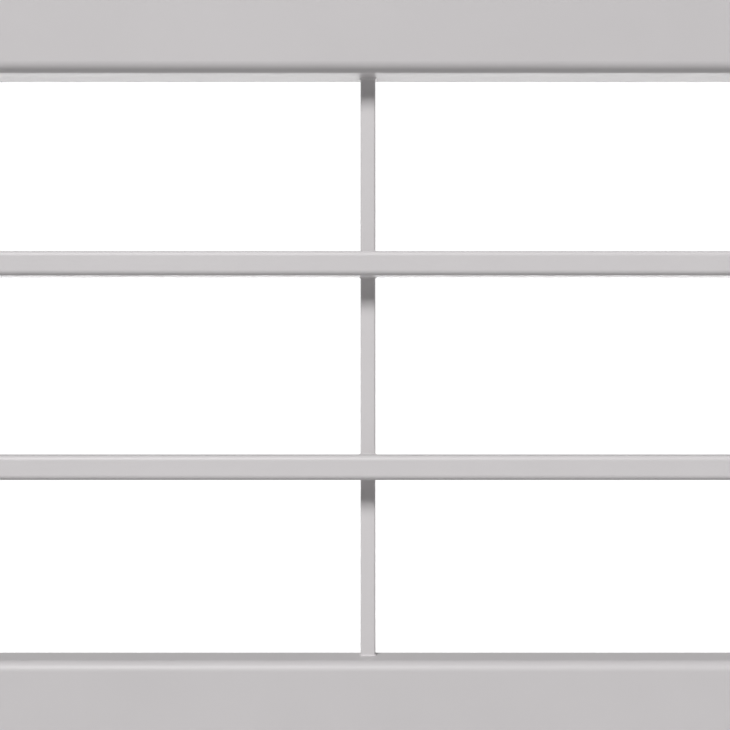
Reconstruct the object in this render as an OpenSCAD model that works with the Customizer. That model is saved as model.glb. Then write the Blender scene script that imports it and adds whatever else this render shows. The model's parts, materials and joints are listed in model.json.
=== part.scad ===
// Adjustable window security guard. In the fixed centre frame two deep rails are
// joined by a narrow brace, with two shallow bars welded across its front. All
// four are sleeves, and an end frame slides out of each side of them to meet the
// window jambs. Width runs along X, depth along Y with the front towards -Y, and
// height along Z. The origin is the centre of the whole guard.

/* [Grid] */
// Clear gap between neighbouring horizontals
clear_gap = 124; // [90:1:150]
// Length of the centre frame's sleeves
sleeve_length = 640; // [540:5:800]
// Front to back depth of the top and bottom rails
rail_depth = 44; // [38:1:56]
// Front to back depth of the two middle bars
bar_depth = 24; // [20:1:26]

/* [Sleeves] */
// Height of the top and bottom rails
rail_height = 60; // [44:1:80]
// Height of the two middle bars
bar_height = 17; // [15:0.5:26]
// Corner radius of the top and bottom rails
rail_corner = 7; // [6:0.5:10]
// Corner radius of the two middle bars
bar_corner = 3.5; // [3:0.5:5]
// Wall thickness of every sleeve
sleeve_wall = 1.5; // [1:0.1:2]

/* [Centre brace] */
// Side of the square brace tube
brace_size = 10.5; // [8:0.5:13]
// Wall thickness of the brace tube
brace_wall = 1.2; // [1:0.1:1.6]
// Corner radius of the brace tube
brace_corner = 1.5; // [1.3:0.1:2]
// Leg of the fillet welds round the ends of the brace
brace_weld = 1; // [0.8:0.1:2]
// Width that the welds behind the bars stand wider than the brace, both sides together
weld_overrun = 1.6; // [0.8:0.2:4]
// How far a weld behind a bar runs past the edge of the bar
weld_toe = 0.4; // [0.2:0.1:2]

/* [End frames] */
// Length of the inner tubes
tube_length = 300; // [260:5:320]
// Wall thickness of the inner tubes
tube_wall = 1.2; // [1:0.1:1.6]
// Gap between an inner tube and the sleeve round it, on each side
slide_gap = 1.5; // [1.2:0.1:2]
// Gap from the sleeves to the end plates at rest
rest_gap = 60; // [20:1:120]
// Thickness of the end plates
plate_thickness = 4; // [3:0.5:6]
// Front to back depth of the end plates
plate_depth = 58; // [56:1:76]
// Corner radius of the end plates
plate_corner = 6; // [3:0.5:10]
// Leg of the fillet welds round the inner tubes
plate_weld = 2; // [1.5:0.1:3]
// Thickness of the jamb pads
pad_thickness = 2; // [1:0.5:5]
// How far the pads lie inside the edge of the plates
pad_inset = 1; // [0.5:0.5:4]

/* [Jamb holes] */
// Diameter of the screw holes in the end plates
hole_d = 6.6; // [4.5:0.1:8.6]
// Front to back distance between the screw holes
hole_spacing = 30; // [20:1:34]
// Diameter of the holes in the jamb pads
pad_hole_d = 9; // [8.8:0.2:12]

/* [Bushes and guides] */
// Length of a bush inside its sleeve
bush_length = 15; // [8:1:30]
// Thickness of a bush's lip outside the sleeve
bush_lip = 1.5; // [1:0.5:3]
// Running gap between a sliding piece and what guides it
running_gap = 0.3; // [0.2:0.05:0.5]
// Thickness of a guide's head
guide_head = 6; // [4:1:12]
// Length of a guide's plug inside its tube
plug_length = 12; // [8:1:20]
// Wall thickness of a guide's plug
plug_wall = 1.6; // [1.2:0.1:2]

/* [Locking screws] */
// Distance from the mouth of a sleeve to its locking screw
lock_inset = 50; // [30:1:80]
// Thread diameter of the locking screws
screw_d = 6; // [5:1:6]
// Width across the flats of the weld nuts
nut_width = 10; // [9:0.5:11]
// Height of the weld nuts
nut_height = 6.5; // [5:0.5:8]
// Gap between a weld nut and the head of its screw
head_gap = 0.8; // [0.3:0.1:1.5]
// Diameter of a screw head
head_d = 10.5; // [9:0.5:12]
// Height of a screw head
head_height = 3.3; // [2.5:0.1:4]
// Width across the flats of the key socket
socket_width = 4; // [3:0.5:5]
// Depth of the key socket
socket_depth = 1.8; // [1:0.1:2]
// Diameter of the pin in the middle of the key socket
socket_pin_d = 1.6; // [1:0.1:2]

/* [Hidden] */
$fn = 64;
// Gap that keeps a weld or a plug just clear of the curve it sits in
seat_gap = 0.05;
// Smallest corner radius that a tube is drawn with
tube_corner_min = 1.4;
// How far a cut runs past the face it opens
cut = 1;

// Heights of the middles of the horizontals
bar_z = (clear_gap + bar_height) / 2;
brace_half = 1.5 * clear_gap + bar_height;
rail_z = brace_half + rail_height / 2;
half_height = rail_z + rail_height / 2;

// The fronts are flush, and the rails with the screws behind them are centred front to back
screw_reach = nut_height + head_gap + head_height;
front_y = -(rail_depth + screw_reach) / 2;
brace_y = front_y + bar_depth + brace_size / 2;

// An inner tube is smaller than its sleeve by this much, on each side
tube_inset = sleeve_wall + slide_gap;
mouth_x = sleeve_length / 2;
plate_x = mouth_x + rest_gap;
tube_start = plate_x - tube_length;
lock_x = mouth_x - lock_inset;

// The screw holes lie midway up the outer clear gaps
hole_z = clear_gap + bar_height;

// Each horizontal is [middle height, height, depth, corner radius]
TOP = [rail_z, rail_height, rail_depth, rail_corner];
UPPER = [bar_z, bar_height, bar_depth, bar_corner];
LOWER = [-bar_z, bar_height, bar_depth, bar_corner];
BOTTOM = [-rail_z, rail_height, rail_depth, rail_corner];
HORIZONTALS = [TOP, UPPER, LOWER, BOTTOM];

// Y of the back of a horizontal
function back_y(line) = front_y + line[2];

// ---- Shapes that repeat ----

// Rectangle w by h with round corners
module rounded_rect(w, h, r) {
  union() {
    square([w - 2 * r, h], center = true);
    square([w, h - 2 * r], center = true);
    for (sx = [-1, 1], sy = [-1, 1])
      translate([sx * (w / 2 - r), sy * (h / 2 - r)]) circle(r);
  }
}

// Outline of a horizontal, drawn smaller by inset on every side
module section(line, inset) {
  r = max(line[3] - inset, tube_corner_min);
  rounded_rect(line[2] - 2 * inset, line[1] - 2 * inset, r);
}

// Carries a shape drawn in the plane of depth and height out to the X position
module along_x(line, x) {
  translate([x, front_y + line[2] / 2, line[0]]) rotate([90, 0, 90]) children();
}

// Ring of fillet weld, standing on z = 0 round a tube w by h with corner radius r
module weld_ring(w, h, r, leg) {
  union()
    for (turn = [0:3]) {
      // Reach of the tube's flat on this side, and half the run along it
      reach = (turn % 2 == 0) ? h / 2 : w / 2;
      run = ((turn % 2 == 0) ? w / 2 : h / 2) - r;
      rotate(90 * turn) {
        translate([-run, reach, 0]) rotate([90, 0, 90]) linear_extrude(2 * run)
          polygon([[0, 0], [leg, 0], [0, leg]]);
        translate([run, reach - r, 0]) rotate_extrude(angle = 90)
          polygon([[r, 0], [r + leg, 0], [r, leg]]);
      }
    }
}

// Mirrors a right-hand piece to the left
module on_left() {
  mirror([1, 0, 0]) children();
}

// ---- Centre frame ----

module sleeve(line) {
  color("gainsboro")
    difference() {
      along_x(line, -mouth_x) linear_extrude(sleeve_length)
        difference() {
          section(line, 0);
          section(line, sleeve_wall);
        }
      for (side = [-1, 1])
        translate([side * lock_x, back_y(line) - sleeve_wall - cut, line[0]]) rotate([-90, 0, 0])
          cylinder(d = screw_d + 2 * running_gap, h = sleeve_wall + 2 * cut);
    }
}

module centre_brace() {
  color("gainsboro")
    translate([0, brace_y, -brace_half]) linear_extrude(2 * brace_half)
      difference() {
        rounded_rect(brace_size, brace_size, brace_corner);
        rounded_rect(brace_size - 2 * brace_wall, brace_size - 2 * brace_wall, brace_corner / 2);
      }
}

// Weld in the groove between the brace and the upper rounded back edge of a bar
module groove_weld(line) {
  r = line[3];
  slant = r * sin(45);
  edge = line[1] / 2;
  translate([-(brace_size + weld_overrun) / 2, back_y(line), line[0]]) rotate([90, 0, 90])
    linear_extrude(brace_size + weld_overrun)
      difference() {
        polygon([[0, edge - r], [0, edge + weld_toe], [slant - r, edge - r + slant]]);
        translate([-r, edge - r]) circle(r + seat_gap);
      }
}

// Welds of the brace: a ring round each end, and one above and one below each bar
module brace_welds() {
  color("gainsboro")
    for (up = [0, 1])
      mirror([0, 0, up]) {
        translate([0, brace_y, -brace_half])
          weld_ring(brace_size, brace_size, brace_corner, brace_weld);
        for (line = [UPPER, LOWER]) groove_weld(line);
      }
}

// Plastic bush in the mouth of a sleeve, on the right, with a lip outside it
module bush(line) {
  color("darkgray")
    difference() {
      union() {
        along_x(line, mouth_x - bush_length) linear_extrude(bush_length)
          section(line, sleeve_wall + seat_gap);
        along_x(line, mouth_x) linear_extrude(bush_lip) section(line, 0);
      }
      along_x(line, mouth_x - bush_length - cut) linear_extrude(bush_length + bush_lip + 2 * cut)
        section(line, tube_inset - running_gap);
    }
}

// Hexagonal weld nuts on the backs of the sleeves, on the right
module lock_nuts() {
  color("gainsboro")
    for (line = HORIZONTALS)
      translate([lock_x, back_y(line), line[0]]) rotate([-90, 0, 0])
        difference() {
          cylinder(d = nut_width / cos(30), h = nut_height, $fn = 6);
          translate([0, 0, -cut]) cylinder(d = screw_d + 2 * seat_gap, h = nut_height + 2 * cut);
        }
}

// Button head with a pinned hexagon socket, standing on z = 0
module lock_screw_head() {
  dome = (head_d * head_d / 4 + head_height * head_height) / (2 * head_height);
  difference() {
    intersection() {
      cylinder(d = head_d, h = head_height);
      translate([0, 0, head_height - dome]) sphere(dome);
    }
    translate([0, 0, head_height - socket_depth])
      cylinder(d = socket_width / cos(30), h = socket_depth + cut, $fn = 6);
  }
  translate([0, 0, head_height - socket_depth - seat_gap])
    cylinder(d = socket_pin_d, h = socket_depth);
}

// Locking screws, whose tips stand just clear of the inner tubes, on the right
module lock_screws() {
  shank = nut_height + head_gap + tube_inset - running_gap;
  color("silver")
    for (line = HORIZONTALS)
      translate([lock_x, back_y(line) + nut_height + head_gap, line[0]]) rotate([-90, 0, 0])
        union() {
          lock_screw_head();
          translate([0, 0, -shank]) cylinder(d = screw_d, h = shank + seat_gap);
        }
}

// ---- End frame, drawn on the right ----

module inner_tube(line) {
  color("gainsboro")
    along_x(line, tube_start) linear_extrude(tube_length)
      difference() {
        section(line, tube_inset);
        section(line, tube_inset + tube_wall);
      }
}

// Guide on the inner end of a tube: a head that runs in the sleeve and a hollow plug
module guide(line) {
  plug_inset = tube_inset + tube_wall + seat_gap;
  color("darkgray")
    difference() {
      union() {
        along_x(line, tube_start - guide_head) linear_extrude(guide_head)
          section(line, sleeve_wall + running_gap);
        along_x(line, tube_start - seat_gap) linear_extrude(plug_length + seat_gap)
          section(line, plug_inset);
      }
      along_x(line, tube_start) linear_extrude(plug_length + cut)
        square([line[2] - 2 * (plug_inset + plug_wall), line[1] - 2 * (plug_inset + plug_wall)],
          center = true);
    }
}

// Plate in the plane of the jamb, from x outwards, with four screw holes
module jamb_sheet(x, thickness, inset, hole) {
  translate([x, 0, 0]) rotate([90, 0, 90])
    difference() {
      linear_extrude(thickness)
        rounded_rect(plate_depth - 2 * inset, 2 * (half_height - inset), plate_corner - inset / 2);
      for (sy = [-1, 1], sz = [-1, 1])
        translate([sy * hole_spacing / 2, sz * hole_z, -cut]) cylinder(d = hole, h = thickness + 2 * cut);
    }
}

module end_plate() {
  color("gainsboro") jamb_sheet(plate_x, plate_thickness, 0, hole_d);
}

module jamb_pad() {
  color("dimgray") jamb_sheet(plate_x + plate_thickness, pad_thickness, pad_inset, pad_hole_d);
}

// Welds round the inner tubes, on the inner face of the plate
module end_welds() {
  color("gainsboro")
    for (line = HORIZONTALS)
      along_x(line, plate_x) mirror([0, 0, 1])
        weld_ring(line[2] - 2 * tube_inset, line[1] - 2 * tube_inset,
          max(line[3] - tube_inset, tube_corner_min), plate_weld);
}

// ---- Pieces by name ----

module top_rail() { sleeve(TOP); }
module upper_bar() { sleeve(UPPER); }
module lower_bar() { sleeve(LOWER); }
module bottom_rail() { sleeve(BOTTOM); }

top_rail();
upper_bar();
lower_bar();
bottom_rail();
centre_brace();
brace_welds();
on_left() bush(TOP);  // left_top_bush
on_left() bush(UPPER);  // left_upper_bush
on_left() bush(LOWER);  // left_lower_bush
on_left() bush(BOTTOM);  // left_bottom_bush
bush(TOP);  // right_top_bush
bush(UPPER);  // right_upper_bush
bush(LOWER);  // right_lower_bush
bush(BOTTOM);  // right_bottom_bush
on_left() lock_nuts();  // left_lock_nuts
on_left() lock_screws();  // left_lock_screws
lock_nuts();  // right_lock_nuts
lock_screws();  // right_lock_screws
on_left() inner_tube(TOP);  // left_top_tube
on_left() inner_tube(UPPER);  // left_upper_tube
on_left() inner_tube(LOWER);  // left_lower_tube
on_left() inner_tube(BOTTOM);  // left_bottom_tube
on_left() guide(TOP);  // left_top_guide
on_left() guide(UPPER);  // left_upper_guide
on_left() guide(LOWER);  // left_lower_guide
on_left() guide(BOTTOM);  // left_bottom_guide
on_left() end_plate();  // left_end_plate
on_left() end_welds();  // left_end_welds
on_left() jamb_pad();  // left_jamb_pad
inner_tube(TOP);  // right_top_tube
inner_tube(UPPER);  // right_upper_tube
inner_tube(LOWER);  // right_lower_tube
inner_tube(BOTTOM);  // right_bottom_tube
guide(TOP);  // right_top_guide
guide(UPPER);  // right_upper_guide
guide(LOWER);  // right_lower_guide
guide(BOTTOM);  // right_bottom_guide
end_plate();  // right_end_plate
end_welds();  // right_end_welds
jamb_pad();  // right_jamb_pad
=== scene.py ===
"""Looks of an adjustable window security guard: a welded steel grille with sliding end frames.

Everything is in metres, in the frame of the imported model: X along the bars, Y through the guard from
its front to its back, and Z up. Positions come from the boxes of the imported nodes, and the small
sizes of each detail are fields of the class that makes it, in millimetres.
"""

from __future__ import annotations

import json
import logging
import math
from collections.abc import Callable, Iterable, Sequence
from dataclasses import dataclass, field
from enum import Enum

import bmesh
import bpy
from mathutils import Matrix, Vector

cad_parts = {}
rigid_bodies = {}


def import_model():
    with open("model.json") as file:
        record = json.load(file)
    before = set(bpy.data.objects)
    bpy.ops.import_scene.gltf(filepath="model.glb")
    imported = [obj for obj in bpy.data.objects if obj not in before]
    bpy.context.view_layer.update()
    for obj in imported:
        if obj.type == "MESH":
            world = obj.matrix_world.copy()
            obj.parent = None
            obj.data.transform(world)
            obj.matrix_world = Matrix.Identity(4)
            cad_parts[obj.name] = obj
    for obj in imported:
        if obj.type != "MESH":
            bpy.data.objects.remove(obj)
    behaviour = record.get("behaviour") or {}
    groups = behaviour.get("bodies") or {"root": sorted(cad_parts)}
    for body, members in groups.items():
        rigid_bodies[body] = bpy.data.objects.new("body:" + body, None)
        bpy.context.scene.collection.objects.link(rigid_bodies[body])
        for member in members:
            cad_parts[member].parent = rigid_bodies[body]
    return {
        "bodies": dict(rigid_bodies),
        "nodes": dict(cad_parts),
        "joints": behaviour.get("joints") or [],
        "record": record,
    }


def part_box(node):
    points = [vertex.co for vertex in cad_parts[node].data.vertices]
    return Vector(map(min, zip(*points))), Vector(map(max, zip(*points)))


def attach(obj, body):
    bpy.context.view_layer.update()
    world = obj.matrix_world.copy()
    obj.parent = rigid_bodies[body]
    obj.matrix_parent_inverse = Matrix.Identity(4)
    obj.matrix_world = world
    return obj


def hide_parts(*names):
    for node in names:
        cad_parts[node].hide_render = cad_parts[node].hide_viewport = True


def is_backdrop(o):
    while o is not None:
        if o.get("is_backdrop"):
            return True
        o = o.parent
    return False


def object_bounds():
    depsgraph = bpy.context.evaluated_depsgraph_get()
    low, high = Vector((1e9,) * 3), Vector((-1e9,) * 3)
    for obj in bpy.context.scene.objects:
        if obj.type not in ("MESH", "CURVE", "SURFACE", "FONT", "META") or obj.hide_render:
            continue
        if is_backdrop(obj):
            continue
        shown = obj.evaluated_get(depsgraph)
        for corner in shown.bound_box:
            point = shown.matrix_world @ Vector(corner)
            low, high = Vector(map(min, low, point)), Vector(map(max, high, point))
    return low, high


LOG = logging.getLogger("window_guard")

MM = 0.001
# The share of a noise's values that its light and dark parts are drawn from
NOISE_MIDDLE = (0.3, 0.7)
CENTRE_BODY = "centre_frame"

Ring = list[Vector]
Socket = bpy.types.NodeSocket


class Side(Enum):
    """The two ends of the guard, by the sign of their X."""

    LEFT = -1
    RIGHT = 1

    @property
    def label(self) -> str:
        """The word that the names of this side's pieces start with."""
        return self.name.lower()

    @property
    def body(self) -> str:
        """The body of the end frame on this side."""
        return f"{self.label}_end_frame"


class Line(Enum):
    """The four horizontals: the node of each sleeve, and its corner radius in millimetres."""

    TOP = ("top_rail", 7.0)
    UPPER = ("upper_bar", 3.5)
    LOWER = ("lower_bar", 3.5)
    BOTTOM = ("bottom_rail", 7.0)

    @property
    def label(self) -> str:
        """The word that the names of this line's small pieces hold."""
        return self.name.lower()

    @property
    def sleeve(self) -> str:
        """The node of this line's sleeve."""
        return self.value[0]

    @property
    def corner(self) -> float:
        """The corner radius of this line's sleeve, in metres."""
        return self.value[1] * MM


# ---- Colour and shader nodes ----


def linear(hex_colour: str, alpha: float = 1.0) -> tuple[float, float, float, float]:
    """Turns an sRGB hex colour to linear light.

    Args:
        hex_colour: The colour as "#RRGGBB".
        alpha: The fourth channel.

    Returns:
        The linear red, green, blue and alpha.
    """
    channels = [int(hex_colour[i : i + 2], 16) / 255 for i in (1, 3, 5)]
    low_end, slope, offset, power = 0.04045, 12.92, 0.055, 2.4
    bent = (((channel + offset) / (1 + offset)) ** power for channel in channels)
    red, green, blue = (c / slope if c <= low_end else b for c, b in zip(channels, bent))
    return red, green, blue, alpha


def add_node(
    tree: bpy.types.NodeTree, kind: str, inputs: dict | None = None, **settings: object
) -> bpy.types.Node:
    """Adds a shader node, sets it and links it.

    Args:
        tree: The node tree to add to.
        kind: The node's type name.
        inputs: Socket name or number to a value, or to the output socket that feeds it.
        **settings: The node's own properties.

    Returns:
        The new node.
    """
    node = tree.nodes.new(kind)
    for name, value in settings.items():
        setattr(node, name, value)
    for name, value in (inputs or {}).items():
        if isinstance(value, Socket):
            tree.links.new(value, node.inputs[name])
        else:
            node.inputs[name].default_value = value
    return node


def per_metre(spacing_mm: float) -> float:
    """The scale of a pattern whose features lie that far apart."""
    return 1 / (spacing_mm * MM)


def new_material(name: str) -> tuple[bpy.types.Material, bpy.types.NodeTree]:
    """Makes an empty node material.

    Args:
        name: Its name.

    Returns:
        The material and its node tree.
    """
    material = bpy.data.materials.new(name)
    material.use_nodes = True
    material.node_tree.nodes.clear()
    return material, material.node_tree


def speckle(tree: bpy.types.NodeTree, spacing_mm: float, detail: float = 2.0, stretch: float = 1.0) -> Socket:
    """Adds a noise that is fixed to the piece.

    Args:
        tree: The node tree to add to.
        spacing_mm: How far apart its features lie.
        detail: How many finer layers it has.
        stretch: How many times longer its features are along X than across.

    Returns:
        The socket with its value, about a half on average.
    """
    place = add_node(tree, "ShaderNodeTexCoord").outputs["Object"]
    drawn = add_node(tree, "ShaderNodeMapping", {"Vector": place, "Scale": (1 / stretch, 1.0, 1.0)})
    scale = per_metre(spacing_mm)
    inputs = {"Vector": drawn.outputs[0], "Scale": scale, "Detail": detail}
    return add_node(tree, "ShaderNodeTexNoise", inputs).outputs[0]


def spread(tree: bpy.types.NodeTree, value: Socket, low: float, high: float) -> Socket:
    """Maps the middle of a noise's values to a range.

    Args:
        tree: The node tree to add to.
        value: The noise.
        low: What it gives where the noise is low.
        high: What it gives where the noise is high.

    Returns:
        The socket with the result.
    """
    first, last = NOISE_MIDDLE
    inputs = {"Value": value, "From Min": first, "From Max": last, "To Min": low, "To Max": high}
    return add_node(tree, "ShaderNodeMapRange", inputs).outputs[0]


def two_tone(tree: bpy.types.NodeTree, value: Socket, first: str, second: str) -> Socket:
    """Mixes two colours.

    Args:
        tree: The node tree to add to.
        value: The share of the second colour, from nought to one.
        first: The first colour as hex.
        second: The second colour as hex.

    Returns:
        The socket with the mixed colour.
    """
    mix = add_node(tree, "ShaderNodeMix", {0: value}, data_type="RGBA")
    mix.inputs[6].default_value = linear(first)
    mix.inputs[7].default_value = linear(second)
    return mix.outputs[2]


def relief(tree: bpy.types.NodeTree, *layers: tuple[Socket, float]) -> Socket:
    """Stacks bumps.

    Args:
        tree: The node tree to add to.
        *layers: Each layer's height socket and its depth in millimetres, from the coarsest to the finest.

    Returns:
        The bumped normal.
    """
    normal = None
    for height, depth_mm in layers:
        inputs = {"Height": height, "Distance": depth_mm * MM}
        if normal is not None:
            inputs["Normal"] = normal
        normal = add_node(tree, "ShaderNodeBump", inputs).outputs[0]
    return normal


def close_with(tree: bpy.types.NodeTree, inputs: dict) -> None:
    """Adds the Principled shader with those inputs, and the output that it feeds."""
    shader = add_node(tree, "ShaderNodeBsdfPrincipled", inputs)
    add_node(tree, "ShaderNodeOutputMaterial", {"Surface": shader.outputs[0]})


# ---- Finishes ----


@dataclass(frozen=True)
class PowderCoat:
    """Polyester powder coat, sprayed dry on steel and baked until it flows."""

    name: str
    colour: str = "#B7B4B5"
    shade: str = "#B5B2B3"
    roughness: float = 0.48
    roughness_spread: float = 0.01
    peel_mm: float = 1.9
    peel_depth_mm: float = 0.008
    grit_mm: float = 0.35
    grit_depth_mm: float = 0.0015
    cloud_mm: float = 70.0
    ior: float = 1.4

    def build(self) -> bpy.types.Material:
        """Builds the coat.

        Returns:
            The material. The film has flowed but not quite flat, so the eye gets a soft sheen over a
            faint orange peel, with dust caught in it, and a colour that is even to within a shade.
        """
        material, tree = new_material(self.name)
        cloud = speckle(tree, self.cloud_mm, 3.0)
        peel = speckle(tree, self.peel_mm, 1.0)
        grit = speckle(tree, self.grit_mm)
        low, high = self.roughness - self.roughness_spread, self.roughness + self.roughness_spread
        close_with(
            tree,
            {
                "Base Color": two_tone(tree, spread(tree, cloud, 0.0, 1.0), self.shade, self.colour),
                "Roughness": spread(tree, cloud, low, high),
                "IOR": self.ior,
                "Normal": relief(tree, (peel, self.peel_depth_mm), (grit, self.grit_depth_mm)),
            },
        )
        return material


@dataclass(frozen=True)
class RubbedCoat:
    """Powder coat that a nylon bush has rubbed along the length of the tube."""

    name: str
    colour: str = "#B6B3B4"
    shade: str = "#ABA8A9"
    dull: float = 0.48
    bright: float = 0.36
    streak_mm: float = 0.9
    streak_length: float = 90.0
    streak_depth_mm: float = 0.003
    peel_mm: float = 1.9
    peel_depth_mm: float = 0.006
    ior: float = 1.43

    def build(self) -> bpy.types.Material:
        """Builds the rubbed coat.

        Returns:
            The material. Fine marks run along the tube, some burnished and some dull, so the eye
            reads that this piece slides.
        """
        material, tree = new_material(self.name)
        streak = speckle(tree, self.streak_mm, 3.0, self.streak_length)
        peel = speckle(tree, self.peel_mm, 1.0)
        close_with(
            tree,
            {
                "Base Color": two_tone(tree, spread(tree, streak, 0.0, 1.0), self.shade, self.colour),
                "Roughness": spread(tree, streak, self.bright, self.dull),
                "IOR": self.ior,
                "Normal": relief(tree, (peel, self.peel_depth_mm), (streak, self.streak_depth_mm)),
            },
        )
        return material


@dataclass(frozen=True)
class MouldedNylon:
    """Injection-moulded nylon from a spark-eroded mould."""

    name: str
    colour: str
    shade: str
    roughness: float = 0.48
    grain_mm: float = 0.5
    grain_depth_mm: float = 0.01
    ior: float = 1.53

    def build(self) -> bpy.types.Material:
        """Builds the nylon.

        Returns:
            The material, whose fine grain from the mould breaks up the highlight.
        """
        material, tree = new_material(self.name)
        grain = speckle(tree, self.grain_mm)
        close_with(
            tree,
            {
                "Base Color": two_tone(tree, spread(tree, grain, 0.0, 1.0), self.shade, self.colour),
                "Roughness": self.roughness,
                "IOR": self.ior,
                "Normal": relief(tree, (grain, self.grain_depth_mm)),
            },
        )
        return material


@dataclass(frozen=True)
class TurnedStainless:
    """Stainless steel, cold-headed and turned, as locking screws are."""

    name: str
    colour: str = "#C9C6C1"
    shade: str = "#B5B2AD"
    bright: float = 0.2
    dull: float = 0.36
    mark_mm: float = 0.6
    mark_depth_mm: float = 0.004

    def build(self) -> bpy.types.Material:
        """Builds the steel.

        Returns:
            The material. It mirrors the room softly, and small handling marks dull it in places.
        """
        material, tree = new_material(self.name)
        mark = speckle(tree, self.mark_mm, 3.0)
        close_with(
            tree,
            {
                "Base Color": two_tone(tree, spread(tree, mark, 0.0, 1.0), self.shade, self.colour),
                "Metallic": 1.0,
                "Roughness": spread(tree, mark, self.bright, self.dull),
                "Normal": relief(tree, (mark, self.mark_depth_mm)),
            },
        )
        return material


@dataclass(frozen=True)
class SheetRubber:
    """EPDM rubber, extruded as a ribbed sheet and die-cut."""

    name: str
    colour: str = "#2B2B2C"
    bloom: str = "#3A3A3C"
    roughness: float = 0.72
    bloom_mm: float = 9.0
    grain_mm: float = 0.3
    grain_depth_mm: float = 0.01
    ior: float = 1.52

    def build(self) -> bpy.types.Material:
        """Builds the rubber.

        Returns:
            The material: dull black, with a greyish bloom that comes to the surface in patches.
        """
        material, tree = new_material(self.name)
        bloom = speckle(tree, self.bloom_mm, 4.0)
        grain = speckle(tree, self.grain_mm)
        close_with(
            tree,
            {
                "Base Color": two_tone(tree, spread(tree, bloom, 0.0, 1.0), self.colour, self.bloom),
                "Roughness": self.roughness,
                "IOR": self.ior,
                "Normal": relief(tree, (grain, self.grain_depth_mm)),
            },
        )
        return material


# ---- Outlines and shells ----


@dataclass(frozen=True)
class Step:
    """One place on a walk round an outline: its point, the way that it faces, and the distance walked."""

    point: Vector
    facing: Vector
    walked: float


def walk_round(
    width: float, height: float, corner: float, arc_steps: int = 8, stride: float = 0.0
) -> list[Step]:
    """Walks round a rectangle with round corners, anticlockwise.

    Args:
        width: Its size along the first axis.
        height: Its size along the second axis.
        corner: Its corner radius.
        arc_steps: How many steps each corner has.
        stride: The longest step along a flat, or nought for none in between.

    Returns:
        The steps, the last of which is joined to the first.
    """
    places: list[tuple[Vector, Vector]] = []
    for turn, (way_u, way_v) in enumerate(((1, 1), (-1, 1), (-1, -1), (1, -1))):
        middle = Vector((way_u * (width / 2 - corner), way_v * (height / 2 - corner)))
        for step in range(arc_steps + 1):
            angle = math.radians(90) * (turn + step / arc_steps)
            facing = Vector((math.cos(angle), math.sin(angle)))
            places.append((middle + facing * corner, facing))
    steps: list[Step] = []
    walked = 0.0
    for (point, facing), (ahead, _) in zip(places, places[1:] + places[:1]):
        gap = (ahead - point).length
        parts = max(1, math.ceil(gap / stride)) if stride else 1
        for part in range(parts):
            steps.append(Step(point.lerp(ahead, part / parts), facing, walked + gap * part / parts))
        walked += gap
    return steps


@dataclass(frozen=True)
class Section:
    """A tube's outline in the plane of depth and height, in metres."""

    middle_y: float
    middle_z: float
    depth: float
    height: float
    corner: float
    corner_min: float = 0.0014

    @classmethod
    def of(cls, line: Line) -> Section:
        """Reads the outline of a line's sleeve from its node.

        Args:
            line: The horizontal.

        Returns:
            The outline.
        """
        low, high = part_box(line.sleeve)
        middle, size = (low + high) / 2, high - low
        return cls(middle.y, middle.z, size.y, size.z, line.corner)

    @property
    def back(self) -> float:
        """The Y of the outline's back."""
        return self.middle_y + self.depth / 2

    def walk(self, inset: float, arc_steps: int = 8, stride: float = 0.0) -> list[Step]:
        """Walks round the outline drawn smaller by inset on every side."""
        corner = max(self.corner - inset, self.corner_min)
        return walk_round(self.depth - 2 * inset, self.height - 2 * inset, corner, arc_steps, stride)

    def ring(self, x: float, inset: float) -> Ring:
        """Puts the outline, drawn smaller by inset, at an X position."""
        return [Vector((x, self.middle_y + s.point.x, self.middle_z + s.point.y)) for s in self.walk(inset)]


class Shells:
    """Gathers closed shells into the mesh of one piece."""

    def __init__(self) -> None:
        """Starts with no shell."""
        self.mesh = bmesh.new()

    def loft(self, rings: Sequence[Ring], closed: bool = False) -> None:
        """Joins rings of equal count, one to the next.

        Args:
            rings: The rings in order.
            closed: Whether the last is joined to the first. If not, both ends are capped.
        """
        rows = [[self.mesh.verts.new(point) for point in ring] for ring in rings]
        following = rows[1:] + rows[:1] if closed else rows[1:]
        for row, after in zip(rows, following):
            for index in range(len(row)):
                ahead = (index + 1) % len(row)
                self.mesh.faces.new((row[index], row[ahead], after[ahead], after[index]))
        if not closed:
            self.mesh.faces.new(rows[0])
            self.mesh.faces.new(rows[-1])

    def take(self, mesh: bpy.types.Mesh, turn: Matrix) -> None:
        """Adds a mesh and drops the original.

        Args:
            mesh: The mesh.
            turn: The matrix that takes it to its place.
        """
        mesh.transform(turn)
        self.mesh.from_mesh(mesh)
        bpy.data.meshes.remove(mesh)

    def place(
        self,
        name: str,
        material: bpy.types.Material,
        body: str,
        replaced: str,
        slot: str,
        sharp: float = 35.0,
    ) -> None:
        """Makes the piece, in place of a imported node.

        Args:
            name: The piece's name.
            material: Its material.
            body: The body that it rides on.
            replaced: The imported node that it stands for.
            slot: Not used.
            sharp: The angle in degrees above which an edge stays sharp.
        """
        bmesh.ops.recalc_face_normals(self.mesh, faces=self.mesh.faces)
        data = bpy.data.meshes.new(name)
        self.mesh.to_mesh(data)
        self.mesh.free()
        data.materials.append(material)
        data.shade_smooth()
        data.set_sharp_from_angle(angle=math.radians(sharp))
        piece = bpy.data.objects.new(name, data)
        bpy.context.scene.collection.objects.link(piece)
        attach(piece, body)
        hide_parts(replaced)
        LOG.info("%s: %d faces on %s", name, len(data.polygons), body)


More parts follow.
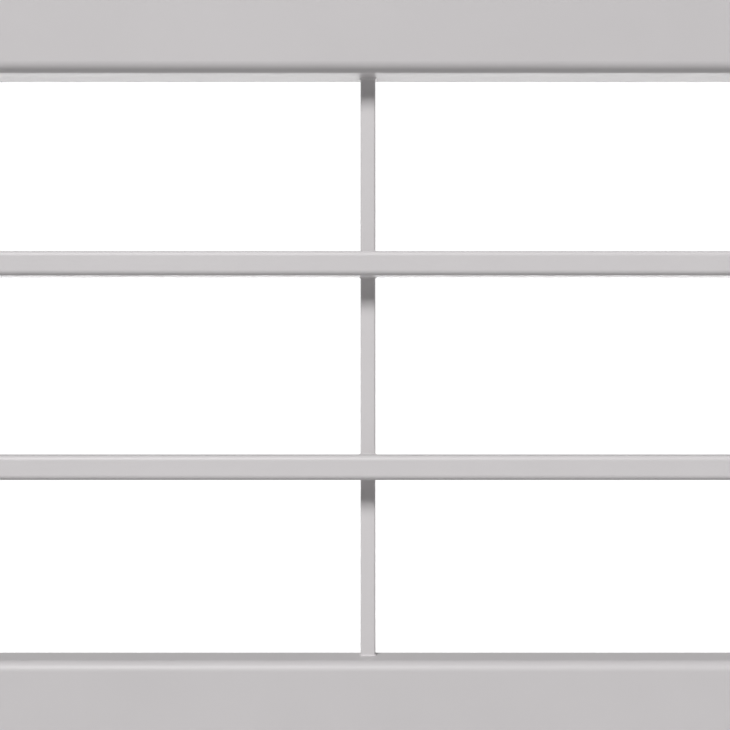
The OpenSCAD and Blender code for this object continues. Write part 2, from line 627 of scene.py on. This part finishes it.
def sheet_with_holes(
    outline: Sequence[Step],
    holes: Sequence[tuple[float, float, float]],
    thickness: float,
    edge: float,
    hole_steps: int = 40,
) -> bpy.types.Mesh:
    """Cuts a flat sheet with softened edges, standing half above and half below its own plane.

    Args:
        outline: A walk round the sheet.
        holes: The middle and the radius of each hole.
        thickness: The sheet's thickness.
        edge: The radius of its edges.
        hole_steps: How many steps each hole has.

    Returns:
        The mesh, in the plane of the outline.
    """
    curve = bpy.data.curves.new("sheet", "CURVE")
    curve.dimensions = "2D"
    curve.fill_mode = "BOTH"
    curve.extrude = thickness / 2 - edge
    curve.bevel_depth = edge
    curve.bevel_resolution = 2
    curve.offset = -edge
    loops = [[tuple(step.point) for step in outline]]
    for middle_u, middle_v, radius in holes:
        ways = (-math.tau * step / hole_steps for step in range(hole_steps))
        loops.append([(middle_u + radius * math.cos(way), middle_v + radius * math.sin(way)) for way in ways])
    for loop in loops:
        spline = curve.splines.new("POLY")
        spline.points.add(len(loop) - 1)
        spline.use_cyclic_u = True
        for point, (u, v) in zip(spline.points, loop):
            point.co = (u, v, 0.0, 1.0)
    holder = bpy.data.objects.new("sheet", curve)
    bpy.context.scene.collection.objects.link(holder)
    bpy.context.view_layer.update()
    mesh = bpy.data.meshes.new_from_object(holder)
    bpy.data.objects.remove(holder)
    bpy.data.curves.remove(curve)
    return mesh


@dataclass
class WeldBead:
    """A run of weld: a bulging fillet with the ripples that the pool leaves as it freezes."""

    ripple_mm: float = 1.5
    ripple_depth: float = 0.16
    bulge: float = 1.35
    arc_steps: int = 6
    stride_mm: float = 0.3
    crease: float = 50.0

    def round_tube(
        self, shells: Shells, walk: Sequence[Step], leg: float, put: Callable[[Vector, float], Vector]
    ) -> None:
        """Runs the bead round a tube.

        Args:
            shells: The piece that it becomes part of.
            walk: A walk round the tube.
            leg: The bead's leg.
            put: Takes a point in the plane that the tube stands on, and a height above it, to its place.
        """
        total = walk[-1].walked + (walk[0].point - walk[-1].point).length
        pitch = total / round(total / (self.ripple_mm * MM))
        rings: list[Ring] = []
        for part in range(self.arc_steps + 1):
            angle = math.radians(90) * part / self.arc_steps
            out, up = (abs(f(angle)) ** (2 / self.bulge) for f in (math.cos, math.sin))
            ring: Ring = []
            for step in walk:
                size = leg * (1 - self.ripple_depth * (step.walked / pitch % 1) ** 2)
                ring.append(put(step.point + step.facing * out * size, up * size))
            rings.append(ring)
        rings.append([put(step.point, 0.0) for step in walk])
        shells.loft(rings, closed=True)


# ---- Centre frame ----


@dataclass
class CentreFrame:
    """The welded middle of the guard: two rails, two bars, the brace, and their bushes and screws."""

    rail_coat: bpy.types.Material
    # A copy of the rail coat painted a shade lighter: painted light on the bars, the brace, its welds and the
    # lock nuts
    bar_coat: bpy.types.Material
    nylon: bpy.types.Material
    steel: bpy.types.Material
    wall_mm: float = 1.5
    seat_mm: float = 0.05
    bore_inset_mm: float = 2.7
    lip_edge_mm: float = 0.5
    mouth_mm: float = 0.7
    brace_corner_mm: float = 1.5
    brace_leg_mm: float = 1.0
    groove_overrun_mm: float = 1.6
    groove_toe_mm: float = 0.4
    groove_bulge_mm: float = 0.25
    groove_steps: int = 6
    groove_taper: float = 6.0
    lip_steps: int = 3
    bead: WeldBead = field(default_factory=WeldBead)

    def dress_tubes(self, frame: dict) -> None:
        """Coats the sleeves and the brace: the rails in the plain coat, and the bars and the brace in a copy
        of it painted a shade lighter, which is painted light.
        """
        dress([Line.TOP.sleeve, Line.BOTTOM.sleeve], self.rail_coat, frame)
        dress([Line.UPPER.sleeve, Line.LOWER.sleeve, "centre_brace"], self.bar_coat, frame)

    def add_bush(self, side: Side, line: Line) -> None:
        """Moulds a bush: a sleeve inside the tube, and a round-edged lip outside it.

        Args:
            side: The end that it is at.
            line: The horizontal that it is in.
        """
        node = f"{side.label}_{line.label}_bush"
        low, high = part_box(node)
        inner, lip = sorted((low.x, high.x), key=abs)
        mouth = side.value * abs(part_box(line.sleeve)[1].x)
        section = Section.of(line)
        edge, bevel, bore = (value * MM for value in (self.lip_edge_mm, self.mouth_mm, self.bore_inset_mm))
        body = (self.wall_mm + self.seat_mm) * MM
        out = side.value
        profile = [(inner, body + edge / 2), (inner + out * edge / 2, body), (mouth, body), (mouth, 0.0)]
        for part in range(self.lip_steps + 1):
            angle = math.radians(90) * part / self.lip_steps
            profile.append((lip - out * edge * (1 - math.sin(angle)), edge * (1 - math.cos(angle))))
        profile += [(lip, bore - bevel), (lip - out * bevel, bore), (inner, bore)]
        shells = Shells()
        shells.loft([section.ring(x, inset) for x, inset in profile], closed=True)
        shells.place(f"{node}_moulding", self.nylon, CENTRE_BODY, node, "bush_plastic")

    def add_end_beads(self, shells: Shells, up: int) -> None:
        """Runs a bead round the end of the brace, on the rail above or below.

        Args:
            shells: The piece that the bead becomes part of.
            up: 1 for the upper end and -1 for the lower.
        """
        low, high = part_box("centre_brace")
        middle, size = (low + high) / 2, high - low
        end = high.z if up > 0 else low.z
        stride = self.bead.stride_mm * MM
        walk = walk_round(size.x, size.y, self.brace_corner_mm * MM, self.bead.arc_steps, stride)

        def put(point: Vector, height: float) -> Vector:
            """Puts a point of the walk at a height above the rail."""
            return Vector((middle.x + point.x, middle.y + point.y, end - up * height))

        self.bead.round_tube(shells, walk, self.brace_leg_mm * MM, put)

    def add_groove_bead(self, shells: Shells, line: Line, up: int) -> None:
        """Fills the groove between the brace and the rounded back edge of a bar.

        Args:
            shells: The piece that the bead becomes part of.
            line: The bar.
            up: 1 for the groove above the bar and -1 for the one below.
        """
        section = Section.of(line)
        low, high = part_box("centre_brace")
        reach = (high.x - low.x + self.groove_overrun_mm * MM) / 2
        radius, edge = section.corner, section.height / 2
        slant = radius * math.sin(math.radians(45))
        top = Vector((0.0, edge + self.groove_toe_mm * MM))
        foot = Vector((slant - radius, edge - radius + slant))
        outward = Vector((foot.y - top.y, top.x - foot.x)).normalized()
        pitch = self.bead.ripple_mm * MM
        seat = radius + self.seat_mm * MM
        steps, parts = math.ceil(2 * reach / (self.bead.stride_mm * MM)), self.groove_steps
        rings: list[Ring] = []
        for step in range(steps + 1):
            x = -reach + 2 * reach * step / steps
            swell = self.groove_bulge_mm * MM * (1 - 2 * self.bead.ripple_depth * (x / pitch % 1) ** 2)
            swell *= math.sqrt(max(0.0, 1 - abs(x / reach) ** self.groove_taper))
            loop: list[Vector] = []
            for part in range(parts + 1):
                share = part / parts
                loop.append(top.lerp(foot, share) + outward * swell * math.sin(math.pi * share))
            for part in range(1, parts):
                angle = math.radians(45) * (1 - part / parts)
                loop.append(Vector((seat * math.cos(angle) - radius, edge - radius + seat * math.sin(angle))))
            loop = [Vector((min(point.x, 0.0), point.y)) for point in loop]
            rings.append([Vector((x, section.back + p.x, section.middle_z + up * p.y)) for p in loop])
        shells.loft(rings)

    def add_brace_beads(self) -> None:
        """Runs all the welds that hold the brace."""
        shells = Shells()
        for up in (1, -1):
            self.add_end_beads(shells, up)
            for line in (Line.UPPER, Line.LOWER):
                self.add_groove_bead(shells, line, up)
        crease = self.bead.crease
        shells.place("brace_weld_beads", self.bar_coat, CENTRE_BODY, "brace_welds", "weld_coat", crease)

    def build(self, frame: dict) -> None:
        """Builds the centre frame.

        Args:
            frame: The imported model.
        """
        self.dress_tubes(frame)
        self.add_brace_beads()
        # The lock nuts take the bars' coat, which is painted a shade lighter than the rails' as painted light
        locks = LockSet(self.bar_coat, self.steel)
        for side in Side:
            for line in Line:
                self.add_bush(side, line)
            locks.build(side)


@dataclass
class LockSet:
    """The locking screws behind the sleeves, in their hexagonal weld nuts."""

    coat: bpy.types.Material
    steel: bpy.types.Material
    around: int = 48
    crease: float = 30.0
    nut_chamfer_mm: float = 0.9
    nut_bore_mm: float = 3.05
    thread_mm: float = 3.0
    thread_depth_mm: float = 0.35
    pitch_mm: float = 1.0
    nut_height_mm: float = 6.5
    nut_width_mm: float = 10.0
    head_mm: float = 5.25
    head_height_mm: float = 3.3
    head_gap_mm: float = 0.8
    socket_mm: float = 4.0
    socket_depth_mm: float = 1.8
    socket_lead_mm: float = 0.25
    socket_floor_mm: float = 0.1
    pin_mm: float = 0.8
    pin_edge_mm: float = 0.15
    rim_mm: float = 0.3
    rim_height_mm: float = 0.1
    dome_inset_mm: float = 0.12
    dome_steps: int = 8
    thread_steps: int = 8
    thread_end_mm: float = 0.4
    neck_mm: float = 0.2
    countersink_mm: float = 0.4

    def turned_ring(self, axis: Vector, along_mm: float, radius_mm: Callable[[float], float]) -> Ring:
        """Draws a ring round an axis that points along Y.

        Args:
            axis: Where the axis starts, on the back of a sleeve.
            along_mm: How far along it the ring is.
            radius_mm: Gives the radius in each direction.

        Returns:
            The ring.
        """
        ring: Ring = []
        for step in range(self.around):
            angle = math.tau * step / self.around
            out = radius_mm(angle) * MM
            ring.append(axis + Vector((out * math.cos(angle), along_mm * MM, out * math.sin(angle))))
        return ring

    @staticmethod
    def hexagon(width_mm: float, limit_mm: float) -> Callable[[float], float]:
        """Gives the radius of a hexagon with that width across its flats, cut off at a limit."""
        sixth = math.radians(60)
        return lambda angle: min(width_mm / 2 / math.cos(angle % sixth - sixth / 2), limit_mm)

    @staticmethod
    def circle(radius_mm: float) -> Callable[[float], float]:
        """Gives the radius of a circle, the same in each direction."""
        return lambda _: radius_mm

    def add_nut(self, shells: Shells, axis: Vector) -> None:
        """Makes a hexagonal nut with a turned chamfer and a countersunk thread.

        Args:
            shells: The piece that it becomes part of.
            axis: The middle of its foot.
        """
        corner = self.nut_width_mm / 2 / math.cos(math.radians(30))
        drop = self.nut_chamfer_mm * math.tan(math.radians(30))
        levels = [(0.0, corner), (self.nut_height_mm - drop, corner)]
        levels += [(self.nut_height_mm, corner - self.nut_chamfer_mm)]
        rings = [self.turned_ring(axis, at, self.hexagon(self.nut_width_mm, limit)) for at, limit in levels]
        bore, sink = self.nut_bore_mm, self.countersink_mm
        inside = [(self.nut_height_mm, bore + sink), (self.nut_height_mm - sink, bore), (0.0, bore)]
        rings += [self.turned_ring(axis, at, self.circle(radius)) for at, radius in inside]
        shells.loft(rings, closed=True)

    def thread_rings(self, axis: Vector, tip_mm: float, seat: float) -> list[Ring]:
        """Draws the threaded shank of a screw.

        Args:
            axis: The middle of its nut's foot.
            tip_mm: How far along the axis its tip is.
            seat: How far along the axis, in millimetres, the underside of its head is.

        Returns:
            The rings, from the tip to just under the head.
        """
        rings = [self.turned_ring(axis, tip_mm, self.circle(self.thread_mm - self.thread_depth_mm))]
        count = int((seat - self.thread_end_mm - tip_mm) / self.pitch_mm * self.thread_steps)
        for level in range(1, count + 1):
            turned = level / self.thread_steps

            def thread(angle: float, turned: float = turned) -> float:
                """Gives the thread's radius in a direction, after that many turns."""
                wave = abs((turned - angle / math.tau) % 1 * 2 - 1)
                return self.thread_mm - self.thread_depth_mm * wave

            rings.append(self.turned_ring(axis, tip_mm + turned * self.pitch_mm, thread))
        return rings

    def head_rings(self, axis: Vector, seat: float) -> list[Ring]:
        """Draws the domed head of a screw, with its hexagon socket and the pin in it.

        Args:
            axis: The middle of its nut's foot.
            seat: How far along the axis, in millimetres, the underside of the head is.

        Returns:
            The rings, from the neck, over the dome and down the socket, to the top of the pin.
        """
        neck, head, pin = self.thread_mm - self.thread_depth_mm, self.head_mm, self.pin_mm
        crown = seat + self.head_height_mm
        dome = (head**2 + self.head_height_mm**2) / (2 * self.head_height_mm)
        outside = [(seat - self.neck_mm, neck), (seat, neck), (seat, head - self.rim_mm)]
        outside += [(seat + self.rim_height_mm, head - self.rim_height_mm)]
        mouth = self.socket_mm / 2 / math.cos(math.radians(30)) + self.socket_lead_mm
        brim = head - self.dome_inset_mm
        for part in range(self.dome_steps + 1):
            radius = brim - (brim - mouth) * part / self.dome_steps
            outside.append((crown - dome + math.sqrt(dome**2 - radius**2), radius))
        floor, wide, edge = crown - self.socket_depth_mm, self.socket_mm, self.socket_floor_mm
        lead = crown - self.socket_lead_mm
        socket = [(lead, wide), (floor + edge, wide), (floor, wide - 2 * edge)]
        inside = [(floor, pin), (lead, pin), (lead + self.pin_edge_mm, pin - self.pin_edge_mm)]
        rings = [self.turned_ring(axis, at, self.circle(radius)) for at, radius in outside]
        rings += [self.turned_ring(axis, at, self.hexagon(width, wide)) for at, width in socket]
        rings += [self.turned_ring(axis, at, self.circle(radius)) for at, radius in inside]
        return rings

    def add_screw(self, shells: Shells, axis: Vector, tip_mm: float) -> None:
        """Makes a button-headed screw.

        Args:
            shells: The piece that it becomes part of.
            axis: The middle of its nut's foot.
            tip_mm: How far along the axis its tip is.
        """
        seat = self.nut_height_mm + self.head_gap_mm
        shells.loft(self.thread_rings(axis, tip_mm, seat) + self.head_rings(axis, seat))

    def build(self, side: Side) -> None:
        """Builds the nuts and the screws of one end.

        Args:
            side: The end that they are at.
        """
        nuts, screws = f"{side.label}_lock_nuts", f"{side.label}_lock_screws"
        low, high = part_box(nuts)
        tip_mm = (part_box(screws)[0].y - Section.of(Line.UPPER).back) / MM
        nut_shells, screw_shells = Shells(), Shells()
        for line in Line:
            section = Section.of(line)
            axis = Vector(((low.x + high.x) / 2, section.back, section.middle_z))
            self.add_nut(nut_shells, axis)
            self.add_screw(screw_shells, axis, tip_mm)
        nut_shells.place(f"{nuts}_turned", self.coat, CENTRE_BODY, nuts, "nut_coat", self.crease)
        screw_shells.place(f"{screws}_turned", self.steel, CENTRE_BODY, screws, "screw_steel", self.crease)


# ---- End frames ----


@dataclass
class EndFrame:
    """One end of the guard: four tubes welded to a jamb plate, with a rubber pad behind the plate."""

    side: Side
    coat: bpy.types.Material
    rubbed: bpy.types.Material
    nylon: bpy.types.Material
    rubber: bpy.types.Material
    tube_inset_mm: float = 3.0
    weld_leg_mm: float = 2.0
    plate_corner_mm: float = 6.0
    plate_edge_mm: float = 0.6
    hole_mm: float = 3.3
    hole_y_mm: float = 15.0
    hole_z_mm: float = 141.0
    pad_hole_mm: float = 4.5
    pad_corner_mm: float = 5.5
    pad_edge_mm: float = 0.2
    pad_base_mm: float = 1.2
    rib_width_mm: float = 1.8
    rib_pitch_mm: float = 3.5
    rib_margin_mm: float = 2.5
    rib_end_rise_mm: float = 0.3
    rib_ramp_mm: float = 0.6
    rib_sunk_mm: float = 0.1
    rib_steps: int = 6
    rib_crease: float = 40.0
    bead: WeldBead = field(default_factory=WeldBead)

    @staticmethod
    def across(x: float) -> Matrix:
        """Turns a sheet drawn flat to the plane of depth and height, at an X position."""
        return Matrix(((0, 0, 1, x), (1, 0, 0, 0), (0, 1, 0, 0), (0, 0, 0, 1)))

    def holes(self, radius_mm: float) -> list[tuple[float, float, float]]:
        """Gives the four holes of the plate with that radius."""
        at_y, at_z = self.hole_y_mm * MM, self.hole_z_mm * MM
        return [(u * at_y, v * at_z, radius_mm * MM) for u in (-1, 1) for v in (-1, 1)]

    def add_plate(self) -> None:
        """Cuts the plate, with softened edges and four holes."""
        node = f"{self.side.label}_end_plate"
        low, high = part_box(node)
        size = high - low
        walk = walk_round(size.y, size.z, self.plate_corner_mm * MM)
        sheet = sheet_with_holes(walk, self.holes(self.hole_mm), size.x, self.plate_edge_mm * MM)
        shells = Shells()
        shells.take(sheet, self.across((low.x + high.x) / 2))
        shells.place(f"{node}_pressed", self.coat, self.side.body, node, "plate_coat")

    def rib_runs(self, y: float, reach: float) -> list[tuple[float, float]]:
        """Breaks a rib where it would cross a hole.

        Args:
            y: Where the rib lies.
            reach: Half the length of the pad.

        Returns:
            The start and the end of each run.
        """
        clear = (self.pad_hole_mm + self.rib_width_mm) * MM
        off = abs(abs(y) - self.hole_y_mm * MM)
        if off >= clear:
            return [(-reach, reach)]
        gap = math.sqrt(clear**2 - off**2)
        low, high = self.hole_z_mm * MM - gap, self.hole_z_mm * MM + gap
        return [(-reach, -high), (-low, low), (high, reach)]

    def add_pad(self) -> None:
        """Cuts the pad: a thin sheet with rounded ribs on the side that meets the jamb."""
        node = f"{self.side.label}_jamb_pad"
        low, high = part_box(node)
        size = high - low
        inner, outer = sorted((low.x, high.x), key=abs)
        base = self.pad_base_mm * MM
        top = inner + self.side.value * base
        walk = walk_round(size.y, size.z, self.pad_corner_mm * MM)
        sheet = sheet_with_holes(walk, self.holes(self.pad_hole_mm), base, self.pad_edge_mm * MM)
        shells = Shells()
        shells.take(sheet, self.across((inner + top) / 2))
        width, rise, low_rise = self.rib_width_mm * MM, abs(outer - top), self.rib_end_rise_mm * MM
        ramp = self.rib_ramp_mm * MM
        count = int((size.y / 2 - self.rib_margin_mm * MM) / (self.rib_pitch_mm * MM))
        for index in range(-count, count + 1):
            y = index * self.rib_pitch_mm * MM
            away = max(0.0, abs(y) - size.y / 2 + self.pad_corner_mm * MM)
            reach = size.z / 2 - self.rib_margin_mm * MM - away
            for start, end in self.rib_runs(y, reach):
                levels = [(start, low_rise), (start + ramp, rise), (end - ramp, rise), (end, low_rise)]
                shells.loft([self.rib_ring(top, y, z, width, height) for z, height in levels])
        shells.place(f"{node}_ribbed", self.rubber, self.side.body, node, "pad_rubber", self.rib_crease)

    def rib_ring(self, top: float, y: float, z: float, width: float, rise: float) -> Ring:
        """Draws a rib's half-round profile.

        Args:
            top: The X of the face that it stands on.
            y: Where its middle lies.
            z: How high the profile is.
            width: The rib's width.
            rise: How far the rib stands proud.

        Returns:
            The profile, whose foot is just inside the sheet.
        """
        sunk = self.rib_sunk_mm * MM
        out = self.side.value
        ring = [Vector((top - out * sunk, y + width / 2, z))]
        for part in range(self.rib_steps + 1):
            angle = math.pi * part / self.rib_steps
            ring.append(Vector((top + out * rise * math.sin(angle), y + width / 2 * math.cos(angle), z)))
        ring.append(Vector((top - out * sunk, y - width / 2, z)))
        return ring

    def add_beads(self) -> None:
        """Runs a bead round each tube, on the inner face of the plate."""
        node = f"{self.side.label}_end_welds"
        face = min(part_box(f"{self.side.label}_end_plate"), key=lambda corner: abs(corner.x)).x
        shells = Shells()
        for line in Line:
            section = Section.of(line)
            walk = section.walk(self.tube_inset_mm * MM, self.bead.arc_steps, self.bead.stride_mm * MM)

            def put(point: Vector, height: float, section: Section = section) -> Vector:
                """Puts a point of the walk at a height above the plate."""
                x = face - self.side.value * height
                return Vector((x, section.middle_y + point.x, section.middle_z + point.y))

            self.bead.round_tube(shells, walk, self.weld_leg_mm * MM, put)
        shells.place(f"{node}_beads", self.coat, self.side.body, node, "weld_coat", self.bead.crease)

    def build(self, frame: dict) -> None:
        """Builds the end frame.

        Args:
            frame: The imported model.
        """
        dress([f"{self.side.label}_{line.label}_tube" for line in Line], self.rubbed, frame)
        dress([f"{self.side.label}_{line.label}_guide" for line in Line], self.nylon, frame)
        self.add_plate()
        self.add_pad()
        self.add_beads()


def dress(names: Iterable[str], material: bpy.types.Material, frame: dict) -> None:
    """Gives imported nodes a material.

    Args:
        names: The nodes.
        material: Their material.
        frame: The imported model.
    """
    for name in names:
        node = frame["nodes"][name]
        node.data.materials.clear()
        node.data.materials.append(material)
        LOG.info("%s: %s", name, material.name)


# ---- Camera, light and stage ----


@dataclass
class Studio:
    """A white studio: a camera square to the guard, a soft lamp above its front, and a pale floor."""

    view_width: float = 0.5017
    camera_distance: float = 1.061
    camera_x: float = -0.0021
    camera_z: float = -0.0217
    camera_tilt: float = 1.18
    sensor: float = 36.0
    key_elevation: float = 41.0
    key_azimuth: float = -14.0
    key_strength: float = 3.6
    key_angle: float = 19.0
    white: float = 1.1
    horizon: float = 0.12
    room_low: float = 1.0
    room_high: float = 0.05
    room_front: float = 0.56
    room_back: float = 7.5
    back_full: float = 0.9
    floor_reach: float = 6.0
    floor_drop: float = 1.3
    floor_colour: str = "#DADADA"
    haze_from: float = 0.3
    haze_to: float = 0.95

    def add_camera(self, front_y: float) -> None:
        """Adds the camera.

        Args:
            front_y: The Y of the guard's front faces.
        """
        lens = bpy.data.cameras.new("camera")
        lens.sensor_width = self.sensor
        lens.lens = self.sensor * self.camera_distance / self.view_width
        camera = bpy.data.objects.new("camera", lens)
        camera.location = (self.camera_x, front_y - self.camera_distance, self.camera_z)
        camera.rotation_euler = (math.radians(90 + self.camera_tilt), 0, 0)
        bpy.context.scene.collection.objects.link(camera)
        bpy.context.scene.camera = camera

    def add_key(self) -> None:
        """Adds the lamp that throws the bars' shadows down the brace."""
        lamp = bpy.data.lights.new("key", "SUN")
        lamp.energy = self.key_strength
        lamp.angle = math.radians(self.key_angle)
        key = bpy.data.objects.new("key", lamp)
        elevation, azimuth = math.radians(self.key_elevation), math.radians(self.key_azimuth)
        level = math.cos(elevation)
        source = Vector((math.sin(azimuth) * level, -math.cos(azimuth) * level, math.sin(elevation)))
        key.rotation_euler = source.to_track_quat("Z", "Y").to_euler()
        bpy.context.scene.collection.objects.link(key)

    def add_room(self) -> None:
        """Adds the surroundings: white where the camera looks, bright low behind, and dim above."""
        world = bpy.data.worlds.new("room")
        bpy.context.scene.world = world
        world.use_nodes = True
        tree = world.node_tree
        tree.nodes.clear()
        way = add_node(tree, "ShaderNodeTexCoord").outputs["Generated"]
        parts = add_node(tree, "ShaderNodeSeparateXYZ", {"Vector": way})
        spans = (
            ("Z", -self.horizon, self.horizon, self.room_low, self.room_high),
            ("Y", 0.0, self.back_full, self.room_front, self.room_back),
        )
        levels: list[Socket] = []
        for axis, first, last, start, end in spans:
            inputs = {"Value": parts.outputs[axis], "From Min": first, "From Max": last}
            inputs |= {"To Min": start, "To Max": end}
            ramp = add_node(tree, "ShaderNodeMapRange", inputs, interpolation_type="SMOOTHSTEP")
            levels.append(ramp.outputs[0])
        glow = add_node(tree, "ShaderNodeMath", dict(enumerate(levels)), operation="MULTIPLY")
        seen = add_node(tree, "ShaderNodeLightPath").outputs["Is Camera Ray"]
        inputs = {0: seen, 2: glow.outputs[0], 3: self.white}
        level = add_node(tree, "ShaderNodeMix", inputs, data_type="FLOAT").outputs[0]
        inputs = {"Color": linear("#FFFFFF"), "Strength": level}
        light = add_node(tree, "ShaderNodeBackground", inputs).outputs[0]
        add_node(tree, "ShaderNodeOutputWorld", {"Surface": light})

    def add_floor(self) -> None:
        """Adds the floor, as far below as under a guard at window height, which fades to white far off."""
        reach, height = self.floor_reach, -self.floor_drop
        mesh = bpy.data.meshes.new("floor")
        corners = [(u * reach, v * reach, height) for u, v in ((-1, -1), (1, -1), (1, 1), (-1, 1))]
        mesh.from_pydata(corners, [], [(0, 1, 2, 3)])
        floor = bpy.data.objects.new("floor", mesh)
        material, tree = new_material("painted_floor")
        paint = add_node(tree, "ShaderNodeBsdfDiffuse", {"Color": linear(self.floor_colour)})
        haze = add_node(tree, "ShaderNodeEmission", {"Strength": self.white})
        place = add_node(tree, "ShaderNodeTexCoord").outputs["Object"]
        far = add_node(tree, "ShaderNodeVectorMath", {0: place}, operation="LENGTH").outputs["Value"]
        inputs = {"Value": far, "From Min": self.haze_from * reach, "From Max": self.haze_to * reach}
        fade = add_node(tree, "ShaderNodeMapRange", inputs, interpolation_type="SMOOTHSTEP").outputs[0]
        seen = add_node(tree, "ShaderNodeLightPath").outputs["Is Camera Ray"]
        share = add_node(tree, "ShaderNodeMath", {0: fade, 1: seen}, operation="MULTIPLY").outputs[0]
        both = add_node(tree, "ShaderNodeMixShader", {0: share, 1: paint.outputs[0], 2: haze.outputs[0]})
        add_node(tree, "ShaderNodeOutputMaterial", {"Surface": both.outputs[0]})
        mesh.materials.append(material)
        bpy.context.scene.collection.objects.link(floor)
        floor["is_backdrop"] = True

    def build(self, front_y: float) -> None:
        """Builds the whole studio round the guard.

        Args:
            front_y: The Y of the guard's front faces.
        """
        bpy.context.scene.view_settings.view_transform = "Standard"
        self.add_camera(front_y)
        self.add_key()
        self.add_room()
        self.add_floor()


def main() -> None:
    """Builds the guard's looks and its studio."""
    logging.basicConfig(level=logging.INFO, format="%(message)s")
    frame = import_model()
    model_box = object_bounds()
    rail_coat = PowderCoat("powder_coated_rail_steel").build()
    # The bars' coat is the rails' powder coat painted a shade lighter: painted light, so the bars, the brace,
    # its welds and the lock nuts render brighter than the rails
    bar_coat = PowderCoat("powder_coated_bar_steel", "#BEBBBC", "#BCB9BA").build()
    rubbed = RubbedCoat("rubbed_powder_coat").build()
    bush_nylon = MouldedNylon("moulded_nylon_grey", "#929294", "#8A8A8C").build()
    guide_nylon = MouldedNylon("moulded_nylon_black", "#3A3A3C", "#323234").build()
    steel = TurnedStainless("turned_stainless_steel").build()
    rubber = SheetRubber("epdm_rubber").build()
    CentreFrame(rail_coat, bar_coat, bush_nylon, steel).build(frame)
    for side in Side:
        EndFrame(side, rail_coat, rubbed, guide_nylon, rubber).build(frame)
    Studio().build(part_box(Line.TOP.sleeve)[0].y)
    [[list(corner) for corner in box] for box in (model_box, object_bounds())]


if __name__ == "__main__":
    main()
